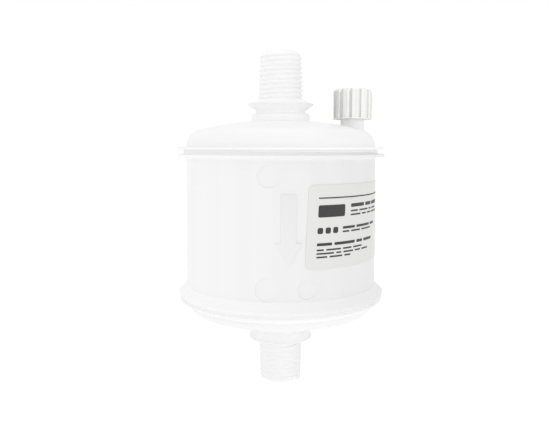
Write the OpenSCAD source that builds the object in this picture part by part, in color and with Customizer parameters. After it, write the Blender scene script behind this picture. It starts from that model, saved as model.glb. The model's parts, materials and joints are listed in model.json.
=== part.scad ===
// Capsule filter: a pleated cartridge welded into a translucent housing, with a taper thread
// at each end and a screw vent on the upper head. Millimetres. The axis is Z, the outlet's
// end face is at z = 0, the inlet is at the top, the front is -Y and the vent is on +X.

/* [Body] */
// Outer diameter of the body just under the upper weld
body_d = 59.5; // [54:0.5:66]
// Growth of that diameter down to the lower weld, so that the moulding leaves its core
body_draft = 0.9; // [0:0.1:1.6]
// Height of the body between its two weld faces
body_h = 45.4; // [40:0.2:70]
// Wall of the body and of both heads
wall = 2.2; // [1.8:0.1:2.6]

/* [Upper weld] */
// How far the two thin rings stand out from the body
weld_ring_out = 2.85; // [2:0.05:4]
// Thickness of each thin ring
weld_ring_t = 0.7; // [0.5:0.1:1.2]
// Height of the groove between the thin rings
weld_groove_h = 1.5; // [1:0.1:2.5]
// How far the floor of that groove stands out from the body
weld_floor_out = 0.75; // [0.5:0.05:1.2]
// Small fillet under the body's thin ring
weld_fillet = 0.8; // [0.3:0.1:1.2]

/* [Lower weld] */
// How far the body's flare stands out from the body
flare_out = 2.6; // [2:0.1:4]
// Height of the flare's cone
flare_h = 2.5; // [1.5:0.1:4]
// Height of the narrow land at the flare's tip
flare_land = 0.4; // [0.2:0.1:1]
// Height of the sloping underside of the flare
flare_under = 0.5; // [0.3:0.1:1]
// How far the outlet head's ring stands out from the body
outlet_ring_out = 2.3; // [1.8:0.1:3.6]
// Thickness of the outlet head's ring
outlet_ring_t = 0.9; // [0.8:0.1:2.5]
// Edge chamfer of the outlet head's ring
outlet_ring_edge = 0.3; // [0.1:0.05:0.4]
// Height of the notch between the flare and the outlet head's ring
notch_h = 0.8; // [0.5:0.1:1.2]
// How far the floor of the notch stands out from the body
notch_floor_out = 1.7; // [0.6:0.1:2]

/* [Weld tongue] */
// Width of the tongue that each head sinks into the body's weld face
tongue_w = 1.0; // [0.8:0.1:1.2]
// Height of the tongue
tongue_h = 0.8; // [0.5:0.1:1.5]
// Clearance round the tongue
tongue_clear = 0.1; // [0.05:0.05:0.2]

/* [Heads] */
// Knuckle radius of the inlet head's dome
inlet_knuckle = 5.5; // [4:0.5:8]
// Crown radius of the inlet head's dome
inlet_crown = 110; // [90:5:160]
// Knuckle radius of the outlet head's dome
outlet_knuckle = 2.8; // [2.6:0.1:4]
// Crown radius of the outlet head's dome
outlet_crown = 85; // [80:5:120]
// Straight skirt of the outlet head between its dome and its ring
outlet_skirt_h = 1.2; // [0.3:0.1:2]

/* [Ports] */
// Thread crest diameter at the large end
thread_d = 13.9; // [12.5:0.1:15]
// Depth of the thread, so the plain spigot is at the thread's root
thread_depth = 1.1; // [0.8:0.1:1.2]
// Length over which the thread's diameter shrinks by one millimetre
thread_taper = 16; // [12:1:24]
// Length of the inlet's thread
inlet_thread_l = 14.9; // [10:0.1:20]
// Length of the outlet's thread
outlet_thread_l = 13.5; // [10:0.1:20]
// Chamfer at the end of each spigot
spigot_chamfer = 0.6; // [0.2:0.1:1]
// Bore through each port
bore_d = 7.0; // [5:0.5:8]
// Diameter of the sharp ring behind each thread
port_ring_d = 20.6; // [19:0.2:24]
// Height of the ring's cone on the thread side
port_ring_front = 1.2; // [0.8:0.1:4]
// Height of the ring's cone on the head side
port_ring_back = 1.75; // [1:0.05:4]
// Narrow land at the ring's tip
port_ring_land = 0.4; // [0.2:0.1:1]
// Diameter of the waist behind the ring
waist_d = 15.6; // [14:0.2:17]
// Height of the waist
waist_h = 0.8; // [0.5:0.1:3]
// Diameter of the collar on the dome
collar_d = 18.4; // [17.5:0.1:22]
// Height of the collar above the dome's crown
collar_h = 2.15; // [1.5:0.05:5]
// Height of the cone from the collar to the waist
collar_cone = 0.5; // [0.2:0.1:1.2]

/* [Vent] */
// Distance of the vent's axis inside the body's outer wall
vent_inset = 7.05; // [6.5:0.05:9]
// Outer diameter of the vent boss
vent_boss_d = 7.4; // [6.8:0.1:8]
// How far the boss reaches in under the dome
vent_boss_in = 0.2; // [0.1:0.1:1]
// How far the foot of the boss widens into the dome
vent_foot_out = 0.5; // [0.3:0.1:1.6]
// Depth of the foot's start below the dome's surface
vent_foot_sink = 1.4; // [1:0.1:1.7]
// Diameter of the knob over its lands
knob_d = 12.0; // [11.4:0.1:13]
// Height of the knob
knob_h = 9.2; // [8:0.1:12]
// Height of the closed knob's underside above the inlet dome's crown
knob_rise = 0.3; // [0.2:0.1:2]
// Thickness of the knob's top
knob_top_t = 2.6; // [2:0.1:4]
// Number of flutes round the knob
flutes = 13; // [8:1:16]
// Turn of the first flute from the side away from the inlet port
flute_turn = 4; // [-20:1:20]
// Radius of the tool that cuts a flute
flute_r = 0.85; // [0.6:0.05:1.1]
// Depth of a flute
flute_depth = 0.95; // [0.3:0.05:1]
// Plain rim left under the flutes
knob_rim = 0.4; // [0.3:0.1:2]
// Chamfer round the knob's top
knob_chamfer = 0.5; // [0.2:0.1:1]
// Diameter of the stem that closes the vent
stem_d = 4.2; // [3.8:0.1:4.4]
// Thickness of the seal's cord
seal_t = 1.0; // [0.8:0.1:1.2]
// Gap between the seal, its groove and its bore
seal_clear = 0.1; // [0.05:0.05:0.15]
// Gap between the stem and the bore that it slides in
stem_clear = 0.2; // [0.1:0.05:0.25]
// Gap between the knob's skirt and the boss inside it
knob_clear = 0.2; // [0.1:0.05:0.4]
// Height of the seal's middle above the knob's underside
seal_up = -0.2; // [-0.4:0.1:0.2]
// Distance that the seal rises before it leaves its bore
seal_travel = 2.1; // [1.8:0.1:2.4]
// Widening of the upper bore, where air passes the raised seal
relief_out = 0.3; // [0.2:0.05:0.4]

/* [Cartridge] */
// Gap for the liquid between the end caps and the body
flow_gap = 1.75; // [1.4:0.05:3]
// Height of the socket in the outlet head that carries the cartridge
socket_h = 5.5; // [5:0.1:8]
// Outer diameter of that socket
socket_d = 14.0; // [13:0.5:18]
// Inner diameter of that socket
socket_bore_d = 10.0; // [9.4:0.1:11]
// Depth of the socket
socket_depth = 4.6; // [3:0.1:5]
// Bore through the lower end cap and its spigot
cap_bore_d = 8.0; // [7.4:0.1:8.2]
// Free height between the upper end cap and the inlet dome's crown
head_room = 5.6; // [4.5:0.1:9]
// Ribs in the inlet dome that hold the cartridge down
ribs = 4; // [4:4:8]
// Thickness of a rib
rib_t = 1.6; // [1:0.1:2.5]
// Radius at which each rib starts
rib_in_r = 6.0; // [5:0.5:8]
// Radius at which each rib ends
rib_out_r = 19.0; // [14:0.5:20]
// Thickness of an end cap's disc
cap_t = 2.0; // [1.5:0.1:3]
// Thickness of an end cap's lips
cap_lip_t = 0.6; // [0.5:0.1:0.9]
// Height of an end cap's lips
cap_lip_h = 3.0; // [1.5:0.1:3.5]
// Gap between pieces that plug together
seat_clear = 0.1; // [0.05:0.05:0.2]
// Wall of the outer cage
cage_t = 1.0; // [0.8:0.1:1.6]
// Outer diameter of the inner core
core_d = 25.2; // [23.6:0.2:27]
// Wall of the inner core
core_t = 1.4; // [1:0.1:1.8]
// Rows of windows in the cage and in the core
window_rows = 6; // [3:1:8]
// Height of the solid bands between the rows of windows
window_band = 2.6; // [1.8:0.1:4]
// Solid length at each end of the cage and of the core
window_end = 4.4; // [3.6:0.1:6]
// Windows round the cage
cage_windows = 18; // [12:2:24]
// Width of a bar between two windows of the cage
cage_bar = 2.6; // [1.6:0.1:4]
// Windows round the core
core_windows = 8; // [6:2:12]
// Width of a bar between two windows of the core
core_bar = 3.2; // [1.8:0.1:4]

/* [Pleats] */
// Number of pleats
pleats = 40; // [24:1:42]
// Thickness of each of the two fleeces
fleece_t = 0.2; // [0.1:0.05:0.22]
// Thickness of the membrane
membrane_t = 0.15; // [0.1:0.05:0.2]
// Half the gap inside a fold
fold_gap = 0.15; // [0.1:0.05:0.2]
// Gap from the pleats to the cage and to the core
pleat_clear = 0.3; // [0.1:0.05:0.4]

/* [Flow arrow] */
// Angle of the arrow, to the right of the front
arrow_angle = 4.1; // [-10:0.1:5]
// Height of the arrow's tip above the lower weld face
arrow_up = 13.8; // [8:0.1:16]
// Length of the whole arrow
arrow_l = 20.2; // [12:0.1:24]
// Length of the arrow's head
arrow_head_l = 6.7; // [4:0.1:9]
// Width of the arrow's head
arrow_head_w = 7.8; // [5:0.1:8.4]
// Width of the arrow's shaft
arrow_shaft_w = 4.3; // [2:0.1:4.8]
// Height of the arrow above the body
arrow_relief = 0.35; // [0.1:0.05:0.6]

/* [Insert marks] */
// Depth of the round marks that the mould's inserts leave
mark_depth = 0.25; // [0.1:0.05:0.4]
// Angles of the upper mark and of the two lower marks, to the right of the front
mark_angles = [-6.3, -7.4, 14.2]; // [-30:0.1:30]
// Diameters of those marks
mark_ds = [6.2, 6.6, 5.4]; // [3:0.1:8]
// Distance of the upper mark's middle under the upper weld face
mark_down = 6.6; // [5:0.1:10]
// Height of the lower marks' middles above the lower weld face
mark_up = 7.2; // [6.5:0.1:9]

/* [Label] */
// Thickness of the label
label_t = 0.12; // [0.06:0.02:0.3]
// Gap of adhesive under the label
label_glue = 0.05; // [0.01:0.01:0.06]
// Height of the label
label_h = 23.6; // [15:0.1:26]
// Height of the label's lower edge above the lower weld face
label_up = 12.9; // [8:0.1:15]
// Angle of the label's near edge, to the right of the front
label_angle = 14; // [14:0.5:40]
// Angle that the label covers
label_sweep = 141; // [60:1:200]
// Lean of the label's two upright edges
label_lean = 2.7; // [0:0.1:4]
// Radius of the label's corners
label_corner = 1.6; // [0.5:0.1:3]

/* [Hidden] */
$fn = 96;

// Overlap of a cutting tool past the face that it cuts
over = 1;
// Least knuckle inside a dome whose wall is as thick as its outer knuckle
least_knuckle = 0.1;
// Straight steps in one round corner of the label, and how far it stands past the blank
corner_steps = 6;
corner_hair = 0.02;

// Radii of the housing
body_top_r = body_d / 2;
body_low_r = body_top_r + body_draft / 2;
body_top_in = body_top_r - wall;
body_low_in = body_low_r - wall;
dome_in_r = body_top_in;
weld_ring_r = body_top_r + weld_ring_out;
weld_floor_r = body_top_r + weld_floor_out;
flare_r = body_low_r + flare_out;
notch_floor_r = body_low_r + notch_floor_out;
outlet_ring_r = body_low_r + outlet_ring_out;
upper_tongue_r = (body_top_in + weld_floor_r) / 2;
lower_tongue_r = (body_low_in + notch_floor_r) / 2;
bore_r = bore_d / 2;
thread_r = thread_d / 2;

// Rise of a dome from the start of its knuckle to the top of its crown
function crown_centre(r, knuckle, crown) =
    sqrt(pow(crown - knuckle, 2) - pow(r - knuckle, 2));
function dome_rise(r, knuckle, crown) = crown - crown_centre(r, knuckle, crown);

// Height of a port from the dome's crown to the spigot's end
function port_h(thread_l) =
    collar_h + waist_h + port_ring_back + port_ring_land + port_ring_front + thread_l;

// Heights, from the outlet's end face upwards
outlet_crown_z = port_h(outlet_thread_l);
outlet_dome_z = outlet_crown_z + dome_rise(body_top_r, outlet_knuckle, outlet_crown);
outlet_ring_z = outlet_dome_z + outlet_skirt_h;
lower_weld_z = outlet_ring_z + outlet_ring_t + notch_h / 2;
flare_tip_z = lower_weld_z + notch_h / 2 + flare_under;
flare_top_z = flare_tip_z + flare_land + flare_h;
upper_weld_z = lower_weld_z + body_h;
body_ring_z = upper_weld_z - weld_groove_h / 2 - weld_ring_t;
head_ring_z = upper_weld_z + weld_groove_h / 2;
inlet_dome_z = head_ring_z + weld_ring_t;
inlet_crown_z = inlet_dome_z + dome_rise(body_top_r, inlet_knuckle, inlet_crown);
total_h = inlet_crown_z + port_h(inlet_thread_l);

// Outer radius of the body's wall at a height
function body_r_at(z) =
    body_top_r + (body_low_r - body_top_r) * (body_ring_z - z) / (body_ring_z - flare_top_z);

// Vent
vent_offset = body_top_r - vent_inset;
vent_boss_r = vent_boss_d / 2;
knob_r = knob_d / 2;
knob_z = inlet_crown_z + knob_rise;
knob_roof_z = knob_z + knob_h - knob_top_t;
vent_crown_z = inlet_crown_z - inlet_crown + sqrt(pow(inlet_crown, 2) - pow(vent_offset, 2));
vent_boss_low = vent_crown_z - wall - vent_boss_in;
vent_foot_z = vent_crown_z - vent_foot_sink;
vent_foot_h = 2 * vent_foot_out;
stem_r = stem_d / 2;
vent_bore_r = stem_r + stem_clear;
seal_z = knob_z + seal_up;
seal_r = vent_bore_r - seal_clear - seal_t / 2;
groove_r = seal_r - seal_t / 2 - seal_clear;
groove_h = seal_t + 2 * seal_clear;
vent_relief_z = seal_z - seal_t / 2 + seal_travel;
stem_low = seal_z - groove_h / 2 - 2 * seal_t;

// Cartridge
cap_r = body_top_in - flow_gap;
cage_r = cap_r - cap_lip_t - seat_clear;
cage_in_r = cage_r - cage_t;
core_r = core_d / 2;
core_in_r = core_r - core_t;
socket_z = outlet_crown_z + wall + socket_h;
socket_floor_z = socket_z - socket_depth;
pack_low = socket_z + cap_t;
cap_top_z = inlet_crown_z - wall - head_room;
pack_top = cap_top_z - cap_t;
pack_h = pack_top - pack_low;
window_pitch = (pack_h - 2 * window_end + window_band) / window_rows;
window_h = window_pitch - window_band;

// Pleat pack: its downstream face is offset 0 and its layers lie outwards from there
pack_t = 2 * fleece_t + membrane_t;
half_pitch = 180 / pleats;
root_x = core_r + pleat_clear;
tip_x = cage_in_r - pleat_clear - pack_t;
root_w = root_x * tan(half_pitch) - fold_gap;
flank_tip = [tip_x, fold_gap];
flank_root = [
    root_x * cos(half_pitch) + root_w * sin(half_pitch),
    root_x * sin(half_pitch) - root_w * cos(half_pitch),
];
flank_run = (flank_tip - flank_root) / norm(flank_tip - flank_root);
flank_normal = [-flank_run[1], flank_run[0]];
root_normal = [cos(half_pitch), sin(half_pitch)];

// Heights of the round insert marks
mark_zs = [upper_weld_z - mark_down, lower_weld_z + mark_up, lower_weld_z + mark_up];

// Housing

// Half section of a dome that rises from y = 0 at radius r, as two tangent arcs
module dome_area(r, knuckle, crown) {
    knuckle_x = r - knuckle;
    crown_y = -crown_centre(r, knuckle, crown);
    joint = [knuckle_x, 0] + [knuckle_x, -crown_y] / (crown - knuckle) * (knuckle + over);
    intersection() {
        translate([0, crown_y]) circle(r = crown);
        polygon([[0, 0], [knuckle_x, 0], joint, [0, joint[1] + crown / 4]]);
    }
    intersection() {
        translate([knuckle_x, 0]) circle(r = knuckle);
        polygon([[knuckle_x, 0], [r + over, 0], [r + over, joint[1]], joint]);
    }
}

// The space inside a dome: the same two arcs, moved in by the wall
module dome_space(r, knuckle, crown) {
    inner_knuckle = max(knuckle - wall, least_knuckle);
    translate([0, dome_rise(r, knuckle, crown) - wall - dome_rise(r - wall, inner_knuckle, crown - wall)])
        dome_area(r - wall, inner_knuckle, crown - wall);
}

// Half section of a port, upwards from the dome's crown at y = 0
module port_area(thread_l) {
    waist_y = collar_h + waist_h;
    tip_y = waist_y + port_ring_back;
    thread_y = tip_y + port_ring_land + port_ring_front;
    end_y = thread_y + thread_l;
    root_r = thread_r - thread_depth;
    end_r = root_r - (thread_l - thread_depth) / thread_taper / 2;
    polygon([
        [0, -wall], [collar_d / 2, -wall], [collar_d / 2, collar_h - collar_cone],
        [waist_d / 2, collar_h], [waist_d / 2, waist_y],
        [port_ring_d / 2, tip_y], [port_ring_d / 2, tip_y + port_ring_land],
        [thread_r, thread_y], [root_r, thread_y + thread_depth],
        [end_r, end_y - spigot_chamfer], [end_r - spigot_chamfer, end_y], [0, end_y],
    ]);
}

// Half section of a weld tongue, or of its groove with the clearance round it. It reaches to
// both sides of the weld face at y = 0.
module tongue_area(mid_r, clear) {
    translate([mid_r - tongue_w / 2 - clear, -tongue_h - clear])
        square([tongue_w + 2 * clear, 2 * (tongue_h + clear)]);
}

module inlet_head_area() {
    difference() {
        union() {
            translate([0, inlet_dome_z]) dome_area(body_top_r, inlet_knuckle, inlet_crown);
            translate([0, inlet_crown_z]) port_area(inlet_thread_l);
            translate([0, upper_weld_z]) square([weld_floor_r, inlet_dome_z - upper_weld_z]);
            translate([0, head_ring_z]) square([weld_ring_r, weld_ring_t]);
            translate([0, upper_weld_z]) tongue_area(upper_tongue_r, 0);
        }
        translate([0, inlet_dome_z]) dome_space(body_top_r, inlet_knuckle, inlet_crown);
        translate([0, upper_weld_z - over]) square([dome_in_r, inlet_dome_z - upper_weld_z + over]);
        square([bore_r, total_h + over]);
    }
}

// Half section of the outlet head, drawn upside down from its weld face at y = 0
module outlet_head_area() {
    ring_y = notch_h / 2;
    ring_end_y = ring_y + outlet_ring_t;
    dome_y = lower_weld_z - outlet_dome_z;
    socket_y = lower_weld_z - socket_z;
    difference() {
        union() {
            translate([0, dome_y]) dome_area(body_top_r, outlet_knuckle, outlet_crown);
            translate([0, lower_weld_z - outlet_crown_z]) port_area(outlet_thread_l);
            polygon([
                [0, 0], [notch_floor_r, 0], [notch_floor_r, ring_y],
                [outlet_ring_r - outlet_ring_edge, ring_y],
                [outlet_ring_r, ring_y + outlet_ring_edge],
                [outlet_ring_r, ring_end_y - outlet_ring_edge],
                [outlet_ring_r - outlet_ring_edge, ring_end_y],
                [body_top_r, dome_y], [0, dome_y],
            ]);
            tongue_area(lower_tongue_r, 0);
        }
        difference() {
            union() {
                translate([0, dome_y]) dome_space(body_top_r, outlet_knuckle, outlet_crown);
                translate([0, -over]) square([dome_in_r, dome_y + over]);
            }
            translate([0, socket_y]) square([socket_d / 2, outlet_crown_z]);
        }
        translate([0, socket_y - over]) square([socket_bore_d / 2, socket_depth + over]);
        square([bore_r, lower_weld_z + over]);
    }
}

module inlet_head() {
    color([0.93, 0.95, 0.94])
    difference() {
        union() {
            rotate_extrude() inlet_head_area();
            cartridge_ribs();
            translate([vent_offset, 0, 0]) vent_boss();
        }
        translate([vent_offset, 0, 0]) vent_bore();
    }
}

// Ribs under the inlet dome that press the cartridge into its socket
module cartridge_ribs() {
    intersection() {
        translate([0, 0, inlet_dome_z - body_h]) rotate_extrude() union() {
            square([rib_out_r + over, body_h]);
            translate([0, body_h - wall / 2]) dome_area(body_top_r, inlet_knuckle, inlet_crown);
        }
        for (i = [0 : ribs - 1])
            rotate(360 / ribs * (i + 0.5))
                translate([rib_in_r, -rib_t / 2, cap_top_z])
                    cube([rib_out_r - rib_in_r, rib_t, inlet_crown_z - cap_top_z]);
    }
}

module vent_boss() {
    translate([0, 0, vent_boss_low])
        cylinder(r = vent_boss_r, h = knob_roof_z - vent_boss_low);
    translate([0, 0, vent_foot_z])
        cylinder(r1 = vent_boss_r + vent_foot_out, r2 = vent_boss_r, h = vent_foot_h);
}

module vent_bore() {
    translate([0, 0, vent_boss_low - over])
        cylinder(r = vent_bore_r, h = vent_relief_z - vent_boss_low + over);
    translate([0, 0, vent_relief_z])
        cylinder(r = vent_bore_r + relief_out, h = knob_roof_z - vent_relief_z + over);
}

module body_area() {
    difference() {
        polygon([
            [body_low_in, lower_weld_z], [notch_floor_r, lower_weld_z],
            [notch_floor_r, lower_weld_z + notch_h / 2], [flare_r, flare_tip_z],
            [flare_r, flare_tip_z + flare_land], [body_low_r, flare_top_z],
            [body_r_at(body_ring_z - weld_fillet), body_ring_z - weld_fillet],
            [body_top_r + weld_fillet, body_ring_z],
            [weld_ring_r, body_ring_z], [weld_ring_r, body_ring_z + weld_ring_t],
            [weld_floor_r, body_ring_z + weld_ring_t], [weld_floor_r, upper_weld_z],
            [body_top_in, upper_weld_z],
        ]);
        translate([0, upper_weld_z]) tongue_area(upper_tongue_r, tongue_clear);
        translate([0, lower_weld_z]) tongue_area(lower_tongue_r, tongue_clear);
    }
}

// Outline of the flow arrow, its tip down at the origin
module arrow_area() {
    polygon([
        [0, 0], [arrow_head_w / 2, arrow_head_l], [arrow_shaft_w / 2, arrow_head_l],
        [arrow_shaft_w / 2, arrow_l], [-arrow_shaft_w / 2, arrow_l],
        [-arrow_shaft_w / 2, arrow_head_l], [-arrow_head_w / 2, arrow_head_l],
    ]);
}

// Stands a flat outline up at the front of the body, turned right by an angle
module on_body(angle, from_r, depth) {
    rotate(angle) rotate([90, 0, 0]) translate([0, 0, from_r]) linear_extrude(depth) children();
}

// The body's drafted outside, thickened outwards
module body_cone(extra) {
    translate([0, 0, flare_top_z])
        cylinder(r1 = body_low_r + extra, r2 = body_top_r + extra, h = body_ring_z - flare_top_z);
}

module body_shell() {
    color([0.93, 0.95, 0.94])
    difference() {
        union() {
            rotate_extrude() body_area();
            intersection() {
                on_body(arrow_angle, body_top_r - wall / 2, wall)
                    translate([0, lower_weld_z + arrow_up]) arrow_area();
                body_cone(arrow_relief);
            }
        }
        for (i = [0 : len(mark_zs) - 1])
            on_body(mark_angles[i], body_r_at(mark_zs[i]) - mark_depth, wall)
                translate([0, mark_zs[i]]) circle(d = mark_ds[i]);
    }
}

module outlet_head() {
    color([0.93, 0.95, 0.94])
    translate([0, 0, lower_weld_z]) mirror([0, 0, 1])
        rotate_extrude() outlet_head_area();
}

function corner_arc(mid, from, to) = [
    for (i = [0 : corner_steps])
        let (angle = from + (to - from) * i / corner_steps)
        mid + label_corner * [cos(angle), sin(angle)]
];

// What the label's blank loses at its near end: the outside of a leaning edge with two round
// corners. The corners stand a hair past the blank's edges, which trim them.
module label_end_waste() {
    reach = label_corner + label_h / 8;
    low = label_corner - corner_hair;
    high = label_h - low;
    inset = label_corner / cos(label_lean);
    low_mid = [(low - label_h / 2) * tan(label_lean) + inset, low];
    high_mid = [(high - label_h / 2) * tan(label_lean) + inset, high];
    polygon(concat(
        [[-reach, -over], [low_mid[0], -over]],
        corner_arc(low_mid, 270, 180 - label_lean),
        corner_arc(high_mid, 180 - label_lean, 90),
        [[high_mid[0], label_h + over], [-reach, label_h + over]]
    ));
}

module label() {
    low = lower_weld_z + label_up;
    high = low + label_h;
    inside = label_glue;
    outside = label_glue + label_t;
    spare = atan(label_h / 2 * tan(label_lean) / body_top_r);
    color([0.96, 0.96, 0.93])
    difference() {
        rotate(label_angle - spare - 90) rotate_extrude(angle = label_sweep + 2 * spare)
            polygon([
                [body_r_at(low) + inside, low], [body_r_at(low) + outside, low],
                [body_r_at(high) + outside, high], [body_r_at(high) + inside, high],
            ]);
        on_body(label_angle, body_top_r - wall, 2 * wall)
            translate([0, low]) label_end_waste();
        on_body(label_angle + label_sweep, body_top_r - wall, 2 * wall)
            translate([0, high]) rotate(180) label_end_waste();
    }
}

// Cartridge

module cap_disc_area(hole_r) {
    translate([hole_r, 0]) square([cap_r - hole_r, cap_t]);
    translate([cap_r - cap_lip_t, 0]) square([cap_lip_t, cap_t + cap_lip_h]);
    translate([core_in_r - seat_clear - cap_lip_t, 0]) square([cap_lip_t, cap_t + cap_lip_h]);
}

module top_end_cap() {
    color([0.90, 0.92, 0.92])
    translate([0, 0, cap_top_z]) mirror([0, 0, 1])
        rotate_extrude() cap_disc_area(0);
}

module bottom_end_cap() {
    spigot_r = socket_bore_d / 2 - seat_clear;
    spigot_l = socket_depth - seat_clear;
    hole_r = cap_bore_d / 2;
    color([0.90, 0.92, 0.92])
    translate([0, 0, socket_z])
        rotate_extrude() {
            cap_disc_area(hole_r);
            translate([hole_r, -spigot_l]) square([spigot_r - hole_r, spigot_l + cap_t / 2]);
        }
}

// A tube with rows of windows through its wall
module windowed_tube(out_r, in_r, count, bar) {
    window_w = 2 * PI * in_r / count - bar;
    translate([0, 0, pack_low])
    difference() {
        linear_extrude(pack_h) difference() {
            circle(r = out_r);
            circle(r = in_r);
        }
        for (row = [0 : window_rows - 1])
            translate([0, 0, window_end + row * window_pitch])
                linear_extrude(window_h)
                    for (i = [0 : count / 2 - 1])
                        rotate(360 / count * i)
                            square([2 * (out_r + over), window_w], center = true);
    }
}

module outer_cage() {
    color([0.88, 0.90, 0.90]) windowed_tube(cage_r, cage_in_r, cage_windows, cage_bar);
}

module inner_core() {
    color([0.88, 0.90, 0.90]) windowed_tube(core_r, core_in_r, core_windows, core_bar);
}

// Corners of one flank at an offset from the pack's downstream face
function tip_corner(offset) =
    let (reach = flank_normal * flank_tip + offset)
    [tip_x + offset, (reach - flank_normal[0] * (tip_x + offset)) / flank_normal[1]];
function root_corner(offset) =
    let (
        reach = flank_normal * flank_tip + offset,
        root = root_x + offset,
        det = root_normal[0] * flank_normal[1] - root_normal[1] * flank_normal[0]
    )
    [
        (root * flank_normal[1] - reach * root_normal[1]) / det,
        (root_normal[0] * reach - flank_normal[0] * root) / det,
    ];
function turned(p, angle) = [
    p[0] * cos(angle) - p[1] * sin(angle),
    p[0] * sin(angle) + p[1] * cos(angle),
];
function pleat_outline(offset) =
    let (tip = tip_corner(offset), root = root_corner(offset))
    [
        for (i = [0 : pleats - 1])
            for (p = [[root[0], -root[1]], [tip[0], -tip[1]], tip, root])
                turned(p, 2 * half_pitch * i)
    ];

// One pleated layer, from its inner to its outer offset
module pleated_layer(inner, outer) {
    points = 4 * pleats;
    translate([0, 0, pack_low]) linear_extrude(pack_h)
        polygon(
            concat(pleat_outline(outer), pleat_outline(inner)),
            [[for (i = [0 : points - 1]) i], [for (i = [0 : points - 1]) points + i]]
        );
}

module downstream_support() {
    color([0.86, 0.88, 0.90]) pleated_layer(0, fleece_t);
}

module filter_membrane() {
    color([0.98, 0.98, 0.96]) pleated_layer(fleece_t, fleece_t + membrane_t);
}

module upstream_support() {
    color([0.86, 0.88, 0.90]) pleated_layer(fleece_t + membrane_t, pack_t);
}

// Vent

module flute_cuts() {
    for (i = [0 : flutes - 1])
        rotate(flute_turn + 360 / flutes * i)
            translate([knob_r + flute_r - flute_depth, 0, knob_z + knob_rim])
                cylinder(r = flute_r, h = knob_h + over);
}

module vent_knob() {
    color([0.90, 0.89, 0.86])
    translate([vent_offset, 0, 0])
    difference() {
        rotate_extrude() knob_area();
        flute_cuts();
    }
}

// Half section of the knob with its skirt, its stem and the seal's groove
module knob_area() {
    skirt_r = vent_boss_r + knob_clear;
    top = knob_z + knob_h;
    difference() {
        polygon([
            [0, knob_z], [knob_r, knob_z], [knob_r, top - knob_chamfer],
            [knob_r - knob_chamfer, top], [0, top],
        ]);
        translate([0, knob_z - over]) square([skirt_r, knob_roof_z - knob_z + over]);
    }
    difference() {
        polygon([
            [0, stem_low], [stem_r - seal_t / 2, stem_low], [stem_r, stem_low + seal_t / 2],
            [stem_r, knob_roof_z + knob_top_t / 2], [0, knob_roof_z + knob_top_t / 2],
        ]);
        translate([groove_r, seal_z - groove_h / 2]) square([stem_r, groove_h]);
    }
}

module vent_o_ring() {
    color([0.16, 0.16, 0.17])
    translate([vent_offset, 0, seal_z])
        rotate_extrude() translate([seal_r, 0]) circle(d = seal_t);
}

inlet_head();
body_shell();
outlet_head();
label();
top_end_cap();
bottom_end_cap();
outer_cage();
inner_core();
upstream_support();
filter_membrane();
downstream_support();
vent_knob();
vent_o_ring();
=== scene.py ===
"""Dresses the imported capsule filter: thread ridges, label print, finishes, studio and camera."""

import json
import math

import bmesh
import bpy
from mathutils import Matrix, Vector


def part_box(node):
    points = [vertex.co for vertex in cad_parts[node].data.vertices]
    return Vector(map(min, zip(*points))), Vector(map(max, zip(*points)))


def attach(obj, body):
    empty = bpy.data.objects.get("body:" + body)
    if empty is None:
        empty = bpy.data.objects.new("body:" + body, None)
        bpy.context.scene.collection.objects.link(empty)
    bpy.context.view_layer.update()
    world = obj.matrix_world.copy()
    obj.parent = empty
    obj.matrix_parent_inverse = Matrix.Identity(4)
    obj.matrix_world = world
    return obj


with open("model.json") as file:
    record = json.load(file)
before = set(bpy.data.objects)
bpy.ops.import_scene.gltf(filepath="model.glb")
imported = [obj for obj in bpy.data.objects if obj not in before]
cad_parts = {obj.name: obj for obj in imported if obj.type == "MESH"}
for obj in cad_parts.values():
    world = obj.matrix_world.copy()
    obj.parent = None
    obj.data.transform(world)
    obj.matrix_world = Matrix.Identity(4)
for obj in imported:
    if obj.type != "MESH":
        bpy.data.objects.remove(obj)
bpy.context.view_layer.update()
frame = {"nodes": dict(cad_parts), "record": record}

bl_info = {
    "name": "Capsule Filter Dressing",
    "version": (1, 0, 0),
    "blender": (4, 5, 0),
    "location": "View3D > Sidebar > Capsule",
    "description": "Adds threads, label print, finishes and a studio to the packed capsule filter",
    "category": "Object",
}

MM = 0.001
MOUNTS = {mount["name"]: mount for mount in frame["record"]["mounts"]}
JOINTS = {joint["name"]: joint for joint in frame["record"]["behaviour"]["joints"]}
# X and Y of the flow axis and of the vent's axis
FLOW_AXIS = (0.0, 0.0)
VENT_AXIS = JOINTS["vent_turn"]["pos_m"][:2]
HEAD_NODES = ("inlet_head", "outlet_head")
CARTRIDGE_NODES = ("top_end_cap", "bottom_end_cap", "outer_cage", "inner_core")
FLEECE_NODES = ("upstream_support", "downstream_support")
THREAD_PIECES = ("inlet_thread_ridge", "outlet_thread_ridge")


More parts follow.
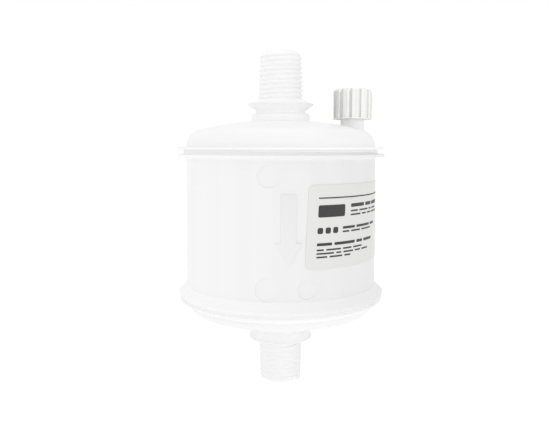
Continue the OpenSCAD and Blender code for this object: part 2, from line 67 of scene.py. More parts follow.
class ThreadSizes(bpy.types.PropertyGroup):
    """Sizes of the taper thread on both ports."""

    pitch: bpy.props.FloatProperty(
        name="Pitch", description="Rise of one turn", default=1.411 * MM, unit="LENGTH", precision=5)
    depth: bpy.props.FloatProperty(
        name="Depth", description="Height of the ridge over its root",
        default=1.1 * MM, unit="LENGTH", precision=5)
    crest: bpy.props.FloatProperty(
        name="Crest", description="Flat on top of the ridge",
        default=0.4 * MM, unit="LENGTH", precision=5)
    root: bpy.props.FloatProperty(
        name="Root", description="Flat between two ridges",
        default=0.4 * MM, unit="LENGTH", precision=5)
    inlet_fill: bpy.props.FloatProperty(
        name="Inlet fill", description="Rise of the root between two ridges of the inlet",
        default=0.62 * MM, unit="LENGTH", precision=5)
    outlet_fill: bpy.props.FloatProperty(
        name="Outlet fill", description="Rise of the root between two ridges of the outlet",
        default=0.85 * MM, unit="LENGTH", precision=5)
    inlet_end: bpy.props.FloatProperty(
        name="Inlet end", description="Radius of the lead-in at the inlet's end",
        default=5.3 * MM, unit="LENGTH", precision=5)
    outlet_end: bpy.props.FloatProperty(
        name="Outlet end", description="Radius of the lead-in at the outlet's end",
        default=6.4 * MM, unit="LENGTH", precision=5)
    lead: bpy.props.FloatProperty(
        name="Lead-in", description="Growth of the lead-in's radius over its length", default=0.73)
    sink: bpy.props.FloatProperty(
        name="Sink", description="How far the ridge's foot lies inside the spigot",
        default=0.15 * MM, unit="LENGTH", precision=5)
    taper: bpy.props.FloatProperty(
        name="Taper", description="Length over which the diameter shrinks by one", default=16.0)
    fade: bpy.props.FloatProperty(
        name="Fade", description="Turns over which the ridge grows at the port's ring", default=0.3)
    steps: bpy.props.IntProperty(
        name="Steps", description="Sections in one turn", default=72, min=24)


class PrintSizes(bpy.types.PropertyGroup):
    """Sizes of the plain blocks and bars printed on the label."""

    ink: bpy.props.FloatProperty(
        name="Ink", description="Thickness of the print",
        default=0.03 * MM, unit="LENGTH", precision=5)
    margin: bpy.props.FloatProperty(
        name="Margin", description="Bare edge at the label's left end",
        default=2.6 * MM, unit="LENGTH", precision=5)
    corner: bpy.props.FloatProperty(
        name="Corner", description="Corner radius of the blocks",
        default=0.45 * MM, unit="LENGTH", precision=5)
    lean: bpy.props.FloatProperty(
        name="Lean", description="Lean of the label's end",
        default=math.radians(2.7), unit="ROTATION")
    start: bpy.props.FloatProperty(
        name="Start", description="Angle of the label's left end to the right of the front",
        default=math.radians(14.0), unit="ROTATION")


class Colours(bpy.types.PropertyGroup):
    """Colours of the finishes."""

    # Painted shade: the walls' colour is a little darker than the rims, standing in for the cartridge
    # behind them
    plastic: bpy.props.FloatVectorProperty(
        name="Housing", description="Milky plastic of the walls, with the cartridge behind it",
        default=(0.932, 0.931, 0.931, 1.0), size=4, subtype="COLOR")
    # Painted light: the rims' colour is lighter, standing in for light shining through the thin
    # plastic of the ports, the boss, the weld rings and the inlet's thread
    painted_rim_light: bpy.props.FloatVectorProperty(
        name="Rims", description="The same plastic, lighter in the ports, the boss and the weld rings",
        default=(0.969, 0.968, 0.968, 1.0), size=4, subtype="COLOR")
    cartridge: bpy.props.FloatVectorProperty(
        name="Cartridge", description="Moulded cage, core and end caps",
        default=(0.86, 0.88, 0.88, 1.0), size=4, subtype="COLOR")
    fleece: bpy.props.FloatVectorProperty(
        name="Fleece", description="Pleated fleeces",
        default=(0.82, 0.84, 0.85, 1.0), size=4, subtype="COLOR")
    membrane: bpy.props.FloatVectorProperty(
        name="Membrane", description="Filter membrane",
        default=(0.92, 0.92, 0.9, 1.0), size=4, subtype="COLOR")
    # Painted shade: the knob's colour is darker than the off-white knob itself, standing in for the
    # shade on its left side
    knob: bpy.props.FloatVectorProperty(
        name="Vent knob", description="Vent knob plastic",
        default=(0.71, 0.71, 0.695, 1.0), size=4, subtype="COLOR")
    film: bpy.props.FloatVectorProperty(
        name="Label", description="Label film",
        default=(0.866, 0.869, 0.853, 1.0), size=4, subtype="COLOR")
    ink: bpy.props.FloatVectorProperty(
        name="Print", description="Label print",
        default=(0.03, 0.03, 0.031, 1.0), size=4, subtype="COLOR")
    rubber: bpy.props.FloatVectorProperty(
        name="Seal", description="Vent seal",
        default=(0.03, 0.03, 0.032, 1.0), size=4, subtype="COLOR")


class StudioSettings(bpy.types.PropertyGroup):
    """Camera, lamps and world."""

    camera_back: bpy.props.FloatProperty(
        name="Camera distance", description="Camera in front of the flow axis",
        default=0.1943, unit="LENGTH")
    camera_up: bpy.props.FloatProperty(
        name="Camera height", description="Camera above the outlet's end",
        default=0.0769, unit="LENGTH")
    camera_down: bpy.props.FloatProperty(
        name="Camera pitch", description="Tilt below the horizon",
        default=math.radians(7.15), unit="ROTATION")
    camera_turn: bpy.props.FloatProperty(
        name="Camera turn", description="Turn to the left",
        default=math.radians(0.53), unit="ROTATION")
    lens: bpy.props.FloatProperty(
        name="Lens", description="Focal length in millimetres", default=39.58, min=10.0)
    left_power: bpy.props.FloatProperty(
        name="Left lamp", description="Power of the lamp on the left in watts", default=0.02, min=0.0)
    top_power: bpy.props.FloatProperty(
        name="Top lamp", description="Power of the lamp above in watts", default=0.38, min=0.0)
    right_power: bpy.props.FloatProperty(
        name="Right lamp", description="Power of the lamp on the right, kept off the body, in watts",
        default=0.6, min=0.0)
    knob_power: bpy.props.FloatProperty(
        name="Knob lamp", description="Power of the lamp on the right for the vent knob in watts",
        default=2.7, min=0.0)
    world_front: bpy.props.FloatProperty(
        name="World front", description="Strength of the white surroundings in front",
        default=0.99, min=0.0)
    world_back: bpy.props.FloatProperty(
        name="World back", description="Strength of the white surroundings behind",
        default=0.645, min=0.0)
    world_drop: bpy.props.FloatProperty(
        name="World drop", description="How much weaker the surroundings are on the right",
        default=0.73, min=0.0)
    floor_glow: bpy.props.FloatProperty(
        name="Floor glow", description="Light that the floor gives by itself", default=0.86, min=0.0)


def empty_tree(owner):
    """The emptied node tree of a material or a world."""
    owner.use_nodes = True
    owner.node_tree.nodes.clear()
    return owner.node_tree


def add_node(tree, kind, values=None, **settings):
    """Adds a shader node with its settings and the values of its sockets."""
    made = tree.nodes.new(kind)
    for key, value in settings.items():
        setattr(made, key, value)
    for key, value in (values or {}).items():
        made.inputs[key].default_value = value
    return made


def ramp(tree, value, start, end, low=0.0, high=1.0, clamp=True):
    """Goes from low to high as a value goes from start to end."""
    made = add_node(
        tree, "ShaderNodeMapRange",
        {"From Min": start, "From Max": end, "To Min": low, "To Max": high}, clamp=clamp)
    tree.links.new(value, made.inputs["Value"])
    return made.outputs["Result"]


def calculate(tree, operation, *terms):
    """Works out one operation on sockets and plain numbers."""
    made = add_node(tree, "ShaderNodeMath", operation=operation)
    for place, term in zip(made.inputs, terms):
        if isinstance(term, bpy.types.NodeSocket):
            tree.links.new(term, place)
        else:
            place.default_value = term
    return made.outputs[0]


def mix_shaders(tree, share, first, second):
    """Mixes two shaders by the second one's share."""
    made = add_node(tree, "ShaderNodeMixShader")
    tree.links.new(share, made.inputs["Fac"])
    tree.links.new(first.outputs[0], made.inputs[1])
    tree.links.new(second.outputs[0], made.inputs[2])
    return made.outputs[0]


def darker(colour, share):
    """A shade of a colour, its alpha kept."""
    return (colour[0] * share, colour[1] * share, colour[2] * share, colour[3])


# Detail of the clouds and of the grain, and how rough the grain's noise is
NOISE_DETAIL = 3.0
GRAIN_ROUGHNESS = 0.6
# Levels of the grain's noise between which the roughness changes
GRAIN_SPAN = (0.3, 0.7)
# Rays that round an edge in the shading
EDGE_SAMPLES = 4


def clouded_colour(tree, shader, place, colour, shade, scale):
    """Varies the base colour softly between a colour and a shade of it."""
    cloud = add_node(tree, "ShaderNodeTexNoise", {"Scale": scale, "Detail": NOISE_DETAIL})
    mix = add_node(tree, "ShaderNodeMix", {"A": colour, "B": shade}, data_type="RGBA")
    tree.links.new(place.outputs["Object"], cloud.inputs["Vector"])
    tree.links.new(cloud.outputs["Fac"], mix.inputs["Factor"])
    tree.links.new(mix.outputs["Result"], shader.inputs["Base Color"])


def fine_grain(tree, shader, place, scale, rough, bump, edge):
    """Gives the surface a fine grain in roughness and bump, and rounds its edges in the shading."""
    grain = add_node(
        tree, "ShaderNodeTexNoise",
        {"Scale": scale, "Detail": NOISE_DETAIL, "Roughness": GRAIN_ROUGHNESS})
    tree.links.new(place.outputs["Object"], grain.inputs["Vector"])
    tree.links.new(ramp(tree, grain.outputs["Fac"], *GRAIN_SPAN, *rough), shader.inputs["Roughness"])
    strength, distance = bump
    lift = add_node(tree, "ShaderNodeBump", {"Strength": strength, "Distance": distance})
    tree.links.new(grain.outputs["Fac"], lift.inputs["Height"])
    if edge:
        rounded = add_node(tree, "ShaderNodeBevel", {"Radius": edge}, samples=EDGE_SAMPLES)
        tree.links.new(rounded.outputs["Normal"], lift.inputs["Normal"])
    tree.links.new(lift.outputs["Normal"], shader.inputs["Normal"])


def grained_finish(name, colour, sockets, shade, clouds, grain, rough, bump, edge=0.0):
    """A material with a clouded colour and a fine grain, and with the constant sockets given.

    shade is the share of the colour in its clouds, clouds and grain are the scales of the two noises,
    rough is the range of the roughness, bump is the strength and the distance of the bump, and edge
    is the radius that edges get in the shading.
    """
    material = bpy.data.materials.new(name)
    tree = empty_tree(material)
    out = add_node(tree, "ShaderNodeOutputMaterial")
    shader = add_node(tree, "ShaderNodeBsdfPrincipled", sockets)
    place = add_node(tree, "ShaderNodeTexCoord")
    tree.links.new(shader.outputs["BSDF"], out.inputs["Surface"])
    clouded_colour(tree, shader, place, colour, darker(colour, shade), clouds)
    fine_grain(tree, shader, place, grain, rough, bump, edge)
    return material


def shader_of(material):
    """The principled shader of a finish."""
    return next(node for node in material.node_tree.nodes if node.type == "BSDF_PRINCIPLED")


def tint_over(material, mask, colour):
    """Lays a colour over a finish's own colour where a mask is one."""
    tree = material.node_tree
    base = shader_of(material).inputs["Base Color"]
    mix = add_node(tree, "ShaderNodeMix", {"B": colour}, data_type="RGBA")
    tree.links.new(mask, mix.inputs["Factor"])
    tree.links.new(base.links[0].from_socket, mix.inputs["A"])
    tree.links.new(mix.outputs["Result"], base)


PLASTIC_IOR = 1.49
FILM_IOR = 1.5


def milky_plastic(name, colour, edge=0.0):
    """Natural translucent plastic of the welded housing."""
    return grained_finish(
        name, colour, {"IOR": PLASTIC_IOR, "Specular IOR Level": 0.25},
        shade=0.99, clouds=30.0, grain=160.0, rough=(0.36, 0.44), bump=(0.04, 0.03 * MM), edge=edge)


def cartridge_plastic():
    """Matt moulded plastic of the cage, the core and the end caps."""
    return grained_finish(
        "cartridge_plastic", bpy.context.scene.capsule_colours.cartridge, {"IOR": PLASTIC_IOR},
        shade=0.95, clouds=120.0, grain=1600.0, rough=(0.45, 0.6), bump=(0.1, 0.05 * MM))


def pleat_fleece():
    """Nonwoven fleece, uneven and fuzzy."""
    return grained_finish(
        "pleat_fleece", bpy.context.scene.capsule_colours.fleece, {"Sheen Weight": 0.15},
        shade=0.86, clouds=2200.0, grain=4200.0, rough=(0.75, 0.95), bump=(0.35, 0.08 * MM))


def membrane_sheet():
    """Smooth white porous sheet."""
    return grained_finish(
        "membrane_sheet", bpy.context.scene.capsule_colours.membrane, {},
        shade=0.96, clouds=500.0, grain=5200.0, rough=(0.55, 0.7), bump=(0.12, 0.03 * MM))


def knob_plastic():
    """Slightly warm, finely textured plastic of the vent knob, painted darker than its own off-white
    as shade, which the knob lamp lifts on the right.
    """
    return grained_finish(
        "knob_plastic", bpy.context.scene.capsule_colours.knob, {"IOR": PLASTIC_IOR},
        shade=0.94, clouds=240.0, grain=2400.0, rough=(0.34, 0.48), bump=(0.12, 0.05 * MM),
        edge=0.2 * MM)


def seal_rubber():
    """Black moulded rubber of the vent seal."""
    return grained_finish(
        "seal_rubber", bpy.context.scene.capsule_colours.rubber, {},
        shade=0.7, clouds=900.0, grain=5200.0, rough=(0.5, 0.65), bump=(0.15, 0.03 * MM))


def label_film():
    """Satin white film with a faint grain."""
    return grained_finish(
        "label_film", bpy.context.scene.capsule_colours.film, {"IOR": FILM_IOR},
        shade=0.975, clouds=180.0, grain=3200.0, rough=(0.38, 0.5), bump=(0.08, 0.03 * MM))


def label_ink():
    """Dark printing ink, thin and lighter in places."""
    return grained_finish(
        "label_ink", bpy.context.scene.capsule_colours.ink, {"IOR": FILM_IOR},
        shade=1.8, clouds=1400.0, grain=4200.0, rough=(0.4, 0.55), bump=(0.06, 0.02 * MM))


def upright_place(tree):
    """The place on a piece, split into its axes, and flattened onto the plane across the flow axis."""
    place = add_node(tree, "ShaderNodeTexCoord")
    split = add_node(tree, "ShaderNodeSeparateXYZ")
    flat = add_node(tree, "ShaderNodeCombineXYZ")
    tree.links.new(place.outputs["Object"], split.inputs[0])
    tree.links.new(split.outputs["X"], flat.inputs["X"])
    tree.links.new(split.outputs["Y"], flat.inputs["Y"])
    return split.outputs, flat.outputs[0]


# Radius of a head's edges
HEAD_EDGE = 0.12 * MM
# Distances from an axis between which a head turns lighter with painted light, standing in for light
# shining through the thin plastic:
# outwards into its weld ring, and inwards into its port and its vent boss, where it also lifts the
# knob's shade
RING_RISE = (29.9 * MM, 30.2 * MM)
PORT_RISE = (10.6 * MM, 9.4 * MM)
BOSS_RISE = (4.4 * MM, 3.9 * MM)


def milky_head(name, bosses):
    """Housing plastic of a head, with painted light in its ring, its port and any boss at the axes
    given.
    """
    colours = bpy.context.scene.capsule_colours
    material = milky_plastic(name, colours.plastic, HEAD_EDGE)
    tree = material.node_tree
    flat = upright_place(tree)[1]
    spots = [(FLOW_AXIS, RING_RISE), (FLOW_AXIS, PORT_RISE)] + [(boss, BOSS_RISE) for boss in bosses]
    # Painted light: the ring, the port and the boss are tinted lighter, standing in for light shining
    # through thin plastic
    for (x, y), rise in spots:
        away = add_node(tree, "ShaderNodeVectorMath", {1: (x, y, 0.0)}, operation="DISTANCE")
        tree.links.new(flat, away.inputs[0])
        tint_over(material, ramp(tree, away.outputs["Value"], *rise), colours.painted_rim_light)
    return material


# Height of the band in which a vertex counts as one on the label's low or high edge
EDGE_BAND = 0.1 * MM


def label_taper(pick):
    """Heights of the label's low and high edges, each with its inner (min) or outer (max) radius."""
    low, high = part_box("label")
    rim = [(v.co.z, v.co.xy.length) for v in frame["nodes"]["label"].data.vertices]
    low_r = pick(r for z, r in rim if z < low.z + EDGE_BAND)
    high_r = pick(r for z, r in rim if z > high.z - EDGE_BAND)
    return low.z, low_r, high.z, high_r


# Radius of the body's edges
BODY_EDGE = 0.06 * MM
# Heights over the wall between which the moulded arrow begins, how frosted its head is against its
# tail, and the roughness of the tail
ARROW_RISE = (0.1 * MM, 0.25 * MM)
ARROW_HEAD_FROST = 0.3
FROST_ROUGHNESS = 0.6
# Darker colour of the arrow, and in part the painted shade of the cage's bars
DEEP_SHADE = 0.935
# Bars of the cage round the body
CAGE_BARS = 18
# Levels of the wave round the body between which a bar's painted shade begins, and how strongly it
# shows
BAR_RISE = (0.2, -0.5)
BAR_SHARE = 0.16
# Heights between which the body turns lighter with painted light, standing in for light shining
# through the thin plastic: over its low end and below its top
FLARE_RISE = (3.9 * MM, 3.7 * MM)
TOP_RING_RISE = (2.2 * MM, 1.5 * MM)


def raised_mask(tree, axes, flat):
    """Strong at the raised arrow's tail, weaker down to its head, and zero on the rest of the body.

    The arrow lies within the label's height, where the wall has the taper of the label's inside.
    """
    low_z, low_r, high_z, high_r = label_taper(min)
    radius = add_node(tree, "ShaderNodeVectorMath", operation="LENGTH")
    tree.links.new(flat, radius.inputs[0])
    wall = ramp(tree, axes["Z"], low_z, high_z, low_r, high_r, clamp=False)
    proud = calculate(tree, "SUBTRACT", radius.outputs["Value"], wall)
    raised = ramp(tree, proud, *ARROW_RISE)
    between = calculate(tree, "COMPARE", axes["Z"], (low_z + high_z) / 2, (high_z - low_z) / 2)
    fading = ramp(tree, axes["Z"], low_z, high_z, ARROW_HEAD_FROST, 1.0)
    return calculate(tree, "MULTIPLY", calculate(tree, "MULTIPLY", raised, between), fading)


def cage_bar_shade(tree, axes):
    """Painted shade: soft darker upright bands where the cage's bars lie behind the wall."""
    angle = calculate(tree, "ARCTAN2", axes["Y"], axes["X"])
    wave = calculate(tree, "COSINE", calculate(tree, "MULTIPLY", angle, CAGE_BARS))
    return ramp(tree, wave, *BAR_RISE, 0.0, BAR_SHARE)


def weld_ends(tree, axes):
    """One on the body's flare and upper ring, zero on the wall between them."""
    low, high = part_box("body_shell")
    flare = ramp(tree, axes["Z"], *(low.z + up for up in FLARE_RISE))
    ring = ramp(tree, axes["Z"], *(high.z - down for down in TOP_RING_RISE))
    return calculate(tree, "MAXIMUM", flare, ring)


def milky_body():
    """Housing plastic of the tube: a frosted arrow, painted shade of the cage's bars, and painted
    light in its ends.
    """
    colours = bpy.context.scene.capsule_colours
    material = milky_plastic("milky_body", colours.plastic, BODY_EDGE)
    tree = material.node_tree
    axes, flat = upright_place(tree)
    arrow = raised_mask(tree, axes, flat)
    # The arrow's darker colour, and the painted shade of the cage's bars
    deeper = calculate(tree, "MAXIMUM", arrow, cage_bar_shade(tree, axes))
    tint_over(material, deeper, darker(colours.plastic, DEEP_SHADE))
    # Painted light: the flare and the upper ring are lighter, standing in for light shining through
    # the thin plastic
    tint_over(material, weld_ends(tree, axes), colours.painted_rim_light)
    rough = shader_of(material).inputs["Roughness"]
    matt = add_node(tree, "ShaderNodeMix", {"B": FROST_ROUGHNESS}, data_type="FLOAT")
    tree.links.new(arrow, matt.inputs["Factor"])
    tree.links.new(rough.links[0].from_socket, matt.inputs["A"])
    tree.links.new(matt.outputs["Result"], rough)
    return material


def finish_nodes(names, material):
    """Gives CAD nodes their finish."""
    for name in names:
        slots = frame["nodes"][name].data.materials
        slots.clear()
        slots.append(material)


def finish_piece(bm, name, material, body, sharp):
    """Turns a bmesh into a piece that rides on a body, smooth but for edges sharper than an angle."""
    for face in bm.faces:
        face.smooth = True
    for edge in bm.edges:
        edge.smooth = not (edge.is_manifold and edge.calc_face_angle() > sharp)
    mesh = bpy.data.meshes.new(name)
    bm.to_mesh(mesh)
    bm.free()
    mesh.materials.append(material)
    piece = bpy.data.objects.new(name, mesh)
    bpy.context.scene.collection.objects.link(piece)
    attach(piece, body)
    return piece


class CAPSULE_OT_housing_finish(bpy.types.Operator):
    """Gives the heads and the body their milky plastic"""

    bl_idname = "capsule.housing_finish"
    bl_label = "Housing Finish"

    def execute(self, context):
        finish_nodes(("inlet_head",), milky_head("milky_inlet", (VENT_AXIS,)))
        finish_nodes(("outlet_head",), milky_head("milky_outlet", ()))
        finish_nodes(("body_shell",), milky_body())
        return {"FINISHED"}


class CAPSULE_OT_cartridge_finish(bpy.types.Operator):
    """Gives the cartridge inside its plastic, fleece and membrane"""

    bl_idname = "capsule.cartridge_finish"
    bl_label = "Cartridge Finish"

    def execute(self, context):
        finish_nodes(CARTRIDGE_NODES, cartridge_plastic())
        finish_nodes(FLEECE_NODES, pleat_fleece())
        finish_nodes(("filter_membrane",), membrane_sheet())
        return {"FINISHED"}


class CAPSULE_OT_vent_finish(bpy.types.Operator):
    """Gives the vent knob and its seal their finish"""

    bl_idname = "capsule.vent_finish"
    bl_label = "Vent Finish"

    def execute(self, context):
        finish_nodes(("vent_knob",), knob_plastic())
        finish_nodes(("vent_o_ring",), seal_rubber())
        return {"FINISHED"}


# Each turn's foot is a little wider than the pitch, so that no slit shows between two turns
TURN_OVERLAP = 1.01
# Share of the crest's flat by which its edges are broken
CREST_ROUND = 0.2
# Angle past which an edge of the ridge stays sharp
THREAD_SHARP = math.radians(75)


def thread_section(sizes, fill, half_foot):
    """Outline of one turn, as places out from the root radius and up along the flow axis."""
    half_crest = sizes.crest / 2
    foot = half_foot - sizes.root / 2
    round_off = sizes.crest * CREST_ROUND
    return (
        (-sizes.sink, -half_foot), (fill, -half_foot), (fill, -foot),
        (sizes.depth - round_off, -half_crest - round_off), (sizes.depth, -half_crest),
        (sizes.depth, half_crest), (sizes.depth - round_off, half_crest + round_off),
        (fill, foot), (fill, half_foot), (-sizes.sink, half_foot),
    )


def thread_ridge(name, mount, end_r, fill, material):
    """Winds the section along a tapering right-handed helix, from the port's ring to its end."""
    sizes = bpy.context.scene.capsule_threads
    length = mount["dims"]["length_mm"] * MM
    outwards = mount["axis"][2]
    large_z = mount["pos_m"][2] - outwards * length
    root_r = mount["dims"]["r_mm"] * MM - sizes.depth
    half_foot = sizes.pitch / 2 * TURN_OVERLAP
    corners = thread_section(sizes, fill, half_foot)
    count = int((length - half_foot) / sizes.pitch * sizes.steps)
    bm = bmesh.new()
    section = [bm.verts.new((root_r + out, 0.0, large_z + outwards * up)) for out, up in corners]
    loop = [bm.edges.new((section[i], section[i - 1])) for i in range(len(section))]
    last = bmesh.ops.spin(
        bm, geom=section + loop, axis=(0.0, 0.0, 1.0), cent=(0.0, 0.0, 0.0),
        dvec=(0.0, 0.0, outwards * sizes.pitch / sizes.steps),
        angle=outwards * 2 * math.pi * count / sizes.steps, steps=count)["geom_last"]
    bmesh.ops.contextual_create(bm, geom=loop)
    bmesh.ops.contextual_create(bm, geom=[e for e in last if isinstance(e, bmesh.types.BMEdge)])
    for place, vert in enumerate(bm.verts):
        grown = min(1.0, place // len(corners) / (sizes.fade * sizes.steps))
        radius = vert.co.xy.length
        up = outwards * (vert.co.z - large_z)
        height = max(radius - root_r, 0.0) * grown + min(radius - root_r, 0.0)
        tapered = root_r - (up - sizes.depth) / sizes.taper / 2 + height
        lead_in = end_r + (length - up) * sizes.lead
        vert.co.xy *= min(tapered, lead_in) / radius
    bmesh.ops.recalc_face_normals(bm, faces=bm.faces)
    return finish_piece(bm, name, material, "housing", THREAD_SHARP)


class CAPSULE_OT_pipe_threads(bpy.types.Operator):
    """Winds the ridges of the taper thread round both ports"""

    bl_idname = "capsule.pipe_threads"
    bl_label = "Pipe Threads"

    def execute(self, context):
        colours = context.scene.capsule_colours
        sizes = context.scene.capsule_threads
        inlet_piece, outlet_piece = THREAD_PIECES
        # Painted light: the inlet's ridge takes the lighter rim colour, while the outlet's ridge keeps
        # the wall colour
        thread_ridge(
            inlet_piece, MOUNTS["inlet_thread"], sizes.inlet_end, sizes.inlet_fill,
            milky_plastic("milky_inlet_thread", colours.painted_rim_light))
        thread_ridge(
            outlet_piece, MOUNTS["outlet_thread"], sizes.outlet_end, sizes.outlet_fill,
            milky_plastic("milky_outlet_thread", colours.plastic))
        return {"FINISHED"}


# Space between two blocks of a row of print, in mm
PRINT_GAP = 0.8
# Rows of print: left end, low edge and height, from the lower left of the print's place, and then the
# widths of the blocks in the row, all in mm
PRINT_ROWS = (
    (0.0, 19.8, 0.35, (66.0,)),
    (0.0, 14.6, 3.4, (9.0,)),
    (11.4, 17.0, 1.0, (6.5, 4.0, 7.0)),
    (11.4, 15.7, 0.45, (3.2, 5.0, 1.8, 4.4)),
    (11.4, 14.6, 0.45, (4.6, 2.4, 3.0, 6.0)),
    (0.0, 10.0, 1.7, (1.7, 1.7, 1.7)),
    (8.4, 11.0, 0.7, (5.0, 7.5, 3.5)),
    (8.4, 10.0, 0.45, (2.6, 4.2, 6.0)),
    (0.0, 6.6, 0.8, (4.8, 8.0, 3.0, 5.4)),
    (0.0, 5.2, 0.45, (2.2, 5.0, 3.4, 4.2)),
    (0.0, 4.2, 0.45, (5.6, 1.8, 4.0, 2.6, 3.6)),
    (0.0, 3.2, 0.45, (3.4, 4.4, 2.4)),
    (36.0, 3.2, 0.35, (29.5,)),
    (36.0, 15.6, 1.1, (8.0, 5.0, 10.5)),
    (36.0, 13.4, 0.5, (4.0, 6.5, 2.5, 7.0)),
    (36.0, 12.0, 0.5, (6.0, 3.0, 8.0, 4.0)),
    (36.0, 10.6, 0.5, (2.8, 7.4, 5.0)),
    (36.0, 5.0, 3.2, (6.0, 6.0)),
    (51.0, 7.5, 0.5, (5.0, 8.0)),
    (51.0, 6.2, 0.5, (7.0, 3.0)),
    (51.0, 5.0, 0.5, (3.0, 6.0)),
)
# Largest corner radius of a block as a share of its height and of its width
CORNER_SHARE = 0.3
CORNER_STEPS = 3
# Greatest width of the strips that a block is cut into
STRIP = 1.0 * MM
# Angle past which an edge of the print stays sharp
PRINT_SHARP = math.radians(40)


def add_print_block(bm, left, base, width, height, sizes):
    """Adds one flat block with rounded corners, cut into strips so that it can bend round the body."""
    others = set(bm.faces)
    made = bmesh.ops.create_grid(bm, x_segments=1, y_segments=1, size=0.5)["verts"]
    bmesh.ops.scale(bm, verts=made, vec=(width, height, 1.0))
    bmesh.ops.translate(bm, verts=made, vec=(left + width / 2, base + height / 2, sizes.ink))
    bmesh.ops.bevel(
        bm, geom=made, offset=min(sizes.corner, height * CORNER_SHARE, width * CORNER_SHARE),
        segments=CORNER_STEPS, profile=0.5, affect="VERTICES", material=-1)
    faces = [f for f in bm.faces if f not in others]
    strips = math.ceil(width / STRIP)
    for cut in range(1, strips):
        edges = list(dict.fromkeys(e for f in faces for e in f.edges))
        verts = list(dict.fromkeys(v for f in faces for v in f.verts))
        split = bmesh.ops.bisect_plane(
            bm, geom=faces + edges + verts, plane_co=(left + width * cut / strips, 0.0, 0.0),
            plane_no=(1.0, 0.0, 0.0))["geom"]
        faces = [f for f in split if isinstance(f, bmesh.types.BMFace)]
    walls = bmesh.ops.extrude_face_region(bm, geom=faces)["geom"]
    bmesh.ops.translate(
        bm, verts=[v for v in walls if isinstance(v, bmesh.types.BMVert)], vec=(0.0, 0.0, -sizes.ink))


def bend_onto_label(bm, sizes):
    """Bends flat print, which lies along X and up Y, round the body onto the label's film."""
    low_z, low_r, high_z, high_r = label_taper(max)
    for vert in bm.verts:
        along, up, out = vert.co
        share = up / (high_z - low_z)
        radius = low_r + (high_r - low_r) * share + out
        angle = sizes.start + (sizes.margin + along + up * math.tan(sizes.lean)) / low_r
        vert.co = Vector((radius * math.sin(angle), -radius * math.cos(angle), low_z + up))
    bmesh.ops.recalc_face_normals(bm, faces=bm.faces)


class CAPSULE_OT_label_finish(bpy.types.Operator):
    """Gives the label its film and prints plain blocks and bars on it"""

    bl_idname = "capsule.label_finish"
    bl_label = "Label Finish"

    def execute(self, context):
        finish_nodes(("label",), label_film())
        sizes = context.scene.capsule_print
        bm = bmesh.new()
        for left, base, height, widths in PRINT_ROWS:
            for width in widths:
                add_print_block(bm, left * MM, base * MM, width * MM, height * MM, sizes)
                left += width + PRINT_GAP
        bend_onto_label(bm, sizes)
        finish_piece(bm, "label_print", label_ink(), "housing", PRINT_SHARP)
        return {"FINISHED"}


WHITE = (1.0, 1.0, 1.0, 1.0)
# Direction upwards, as a sine, from which the right side is no longer weaker
DROP_TOP = 0.8
# Half the floor's width, and its height, just under the outlet's end
FLOOR_HALF = 3.0
FLOOR_Z = -0.5 * MM
FLOOR_PAINT = (0.9, 0.9, 0.9, 1.0)
# Strength of the floor's white, and its share against the paint where the floor is looked at
FLOOR_WHITE = 1.06
FLOOR_SEEN = 0.9
# Point near the capsule's middle that the lamps are turned to
LAMP_AIM = (0.0, 0.0, 0.055)
# Lamps: name, place, size, the setting with the power, and the pieces that it is kept to
LAMPS = (
    ("left_lamp", (-0.65, -0.25, 0.35), 0.6, "left_power", ()),
    ("top_lamp", (0.0, 0.15, 0.75), 0.6, "top_power", ()),
    ("right_lamp", (0.55, -0.33, 0.08), 0.4, "right_power", HEAD_NODES + THREAD_PIECES),
    ("knob_lamp", (0.37, -0.61, 0.35), 0.15, "knob_power", ("vent_knob",)),
)
# Width of the camera's sensor in millimetres, and the nearest thing that it sees
SENSOR = 36.0
NEAREST = 5 * MM
# Enough bounces of light for the narrow grooves of the pale plastic
DEEP_BOUNCES = 24


def white_for_lookers(tree):
    """One for camera, glossy and transmitted rays, and zero for the rays that light things."""
    path = add_node(tree, "ShaderNodeLightPath").outputs
    looked_at = calculate(tree, "MAXIMUM", path["Is Camera Ray"], path["Is Glossy Ray"])
    return calculate(tree, "MAXIMUM", looked_at, path["Is Transmission Ray"])


def make_world(front, back, drop):
    """A world that looks white, and lights less from behind and from the right."""
    world = bpy.data.worlds.new("studio_world")
    tree = empty_tree(world)
    out = add_node(tree, "ShaderNodeOutputWorld")
    place = add_node(tree, "ShaderNodeTexCoord")
    split = add_node(tree, "ShaderNodeSeparateXYZ")
    tree.links.new(place.outputs["Generated"], split.inputs[0])
    behind = ramp(tree, split.outputs["Y"], 0.0, 1.0, front, back)
    aside = ramp(tree, split.outputs["X"], 0.0, 1.0, 0.0, drop)
    level = ramp(tree, split.outputs["Z"], 0.0, DROP_TOP, 1.0, 0.0)
    strength = calculate(tree, "SUBTRACT", behind, calculate(tree, "MULTIPLY", aside, level))
    lit = add_node(tree, "ShaderNodeBackground", {"Color": WHITE})
    seen = add_node(tree, "ShaderNodeBackground", {"Color": WHITE, "Strength": 1.0})
    tree.links.new(strength, lit.inputs["Strength"])
    tree.links.new(mix_shaders(tree, white_for_lookers(tree), lit, seen), out.inputs["Surface"])
    bpy.context.scene.world = world


def floor_finish(glow):
    """A light table: it looks white to the camera, glows a little and keeps a faint shadow."""
    material = bpy.data.materials.new("studio_floor")
    tree = empty_tree(material)
    out = add_node(tree, "ShaderNodeOutputMaterial")
    paint = add_node(tree, "ShaderNodeBsdfDiffuse", {"Color": FLOOR_PAINT})
    white = add_node(tree, "ShaderNodeEmission", {"Color": WHITE, "Strength": FLOOR_WHITE})
    share = ramp(tree, white_for_lookers(tree), 0.0, 1.0, glow, FLOOR_SEEN)
    tree.links.new(mix_shaders(tree, share, paint, white), out.inputs["Surface"])
    return material


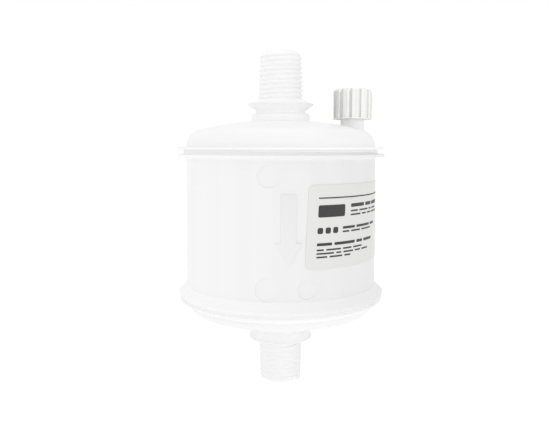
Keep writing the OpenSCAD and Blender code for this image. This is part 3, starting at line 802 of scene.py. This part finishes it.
def add_floor(glow):
    """A wide floor just under the outlet's end."""
    bm = bmesh.new()
    bmesh.ops.create_grid(bm, x_segments=1, y_segments=1, size=FLOOR_HALF)
    bmesh.ops.translate(bm, verts=bm.verts, vec=(0.0, 0.0, FLOOR_Z))
    mesh = bpy.data.meshes.new("studio_floor")
    bm.to_mesh(mesh)
    bm.free()
    mesh.materials.append(floor_finish(glow))
    floor = bpy.data.objects.new("studio_floor", mesh)
    bpy.context.scene.collection.objects.link(floor)


def add_lamp(name, place, size, power, pieces):
    """A square soft lamp turned to the capsule, which lights only the pieces named, or else all."""
    lamp = bpy.data.lights.new(name, "AREA")
    lamp.size = size
    lamp.energy = power
    holder = bpy.data.objects.new(name, lamp)
    holder.location = place
    holder.rotation_euler = (Vector(LAMP_AIM) - Vector(place)).to_track_quat("-Z", "Y").to_euler()
    bpy.context.scene.collection.objects.link(holder)
    if pieces:
        lit = bpy.data.collections.new(name + "_pieces")
        for piece in pieces:
            lit.objects.link(bpy.data.objects[piece])
        holder.light_linking.receiver_collection = lit


def add_camera(studio):
    """The camera in front of the capsule, a little above its middle."""
    camera = bpy.data.cameras.new("studio_camera")
    camera.sensor_width = SENSOR
    camera.lens = studio.lens
    camera.clip_start = NEAREST
    holder = bpy.data.objects.new("studio_camera", camera)
    holder.location = (0.0, -studio.camera_back, studio.camera_up)
    holder.rotation_euler = (math.pi / 2 - studio.camera_down, 0.0, studio.camera_turn)
    bpy.context.scene.collection.objects.link(holder)
    bpy.context.scene.camera = holder


class CAPSULE_OT_studio(bpy.types.Operator):
    """Sets up the floor, the lamps, the white surroundings and the camera"""

    bl_idname = "capsule.studio"
    bl_label = "Studio"

    def execute(self, context):
        studio = context.scene.capsule_studio
        add_floor(studio.floor_glow)
        make_world(studio.world_front, studio.world_back, studio.world_drop)
        for name, place, size, power, pieces in LAMPS:
            add_lamp(name, place, size, getattr(studio, power), pieces)
        add_camera(studio)
        context.scene.view_settings.view_transform = "Standard"
        context.scene.cycles.max_bounces = DEEP_BOUNCES
        context.scene.cycles.diffuse_bounces = DEEP_BOUNCES
        return {"FINISHED"}


class CAPSULE_PT_dressing(bpy.types.Panel):
    """Lists the steps and their settings"""

    bl_label = "Capsule Filter"
    bl_idname = "CAPSULE_PT_dressing"
    bl_space_type = "VIEW_3D"
    bl_region_type = "UI"
    bl_category = "Capsule"

    def draw(self, context):
        layout = self.layout
        for step in STEPS:
            layout.operator(step.bl_idname)
        for key, group in GROUPS.items():
            box = layout.box()
            for setting in group.__annotations__:
                box.prop(getattr(context.scene, key), setting)


STEPS = (
    CAPSULE_OT_housing_finish,
    CAPSULE_OT_cartridge_finish,
    CAPSULE_OT_vent_finish,
    CAPSULE_OT_pipe_threads,
    CAPSULE_OT_label_finish,
    CAPSULE_OT_studio,
)
GROUPS = {
    "capsule_threads": ThreadSizes,
    "capsule_print": PrintSizes,
    "capsule_colours": Colours,
    "capsule_studio": StudioSettings,
}


def register():
    """Registers the settings, the steps and the panel."""
    for key, group in GROUPS.items():
        bpy.utils.register_class(group)
        setattr(bpy.types.Scene, key, bpy.props.PointerProperty(type=group))
    for step in STEPS:
        bpy.utils.register_class(step)
    bpy.utils.register_class(CAPSULE_PT_dressing)


def unregister():
    """Takes the panel, the steps and the settings away again."""
    bpy.utils.unregister_class(CAPSULE_PT_dressing)
    for step in reversed(STEPS):
        bpy.utils.unregister_class(step)
    for key, group in GROUPS.items():
        delattr(bpy.types.Scene, key)
        bpy.utils.unregister_class(group)


def main():
    """Dresses the part in order."""
    register()
    bpy.ops.capsule.housing_finish()
    bpy.ops.capsule.cartridge_finish()
    bpy.ops.capsule.vent_finish()
    bpy.ops.capsule.pipe_threads()
    bpy.ops.capsule.label_finish()
    bpy.ops.capsule.studio()


if __name__ == "__main__":
    main()
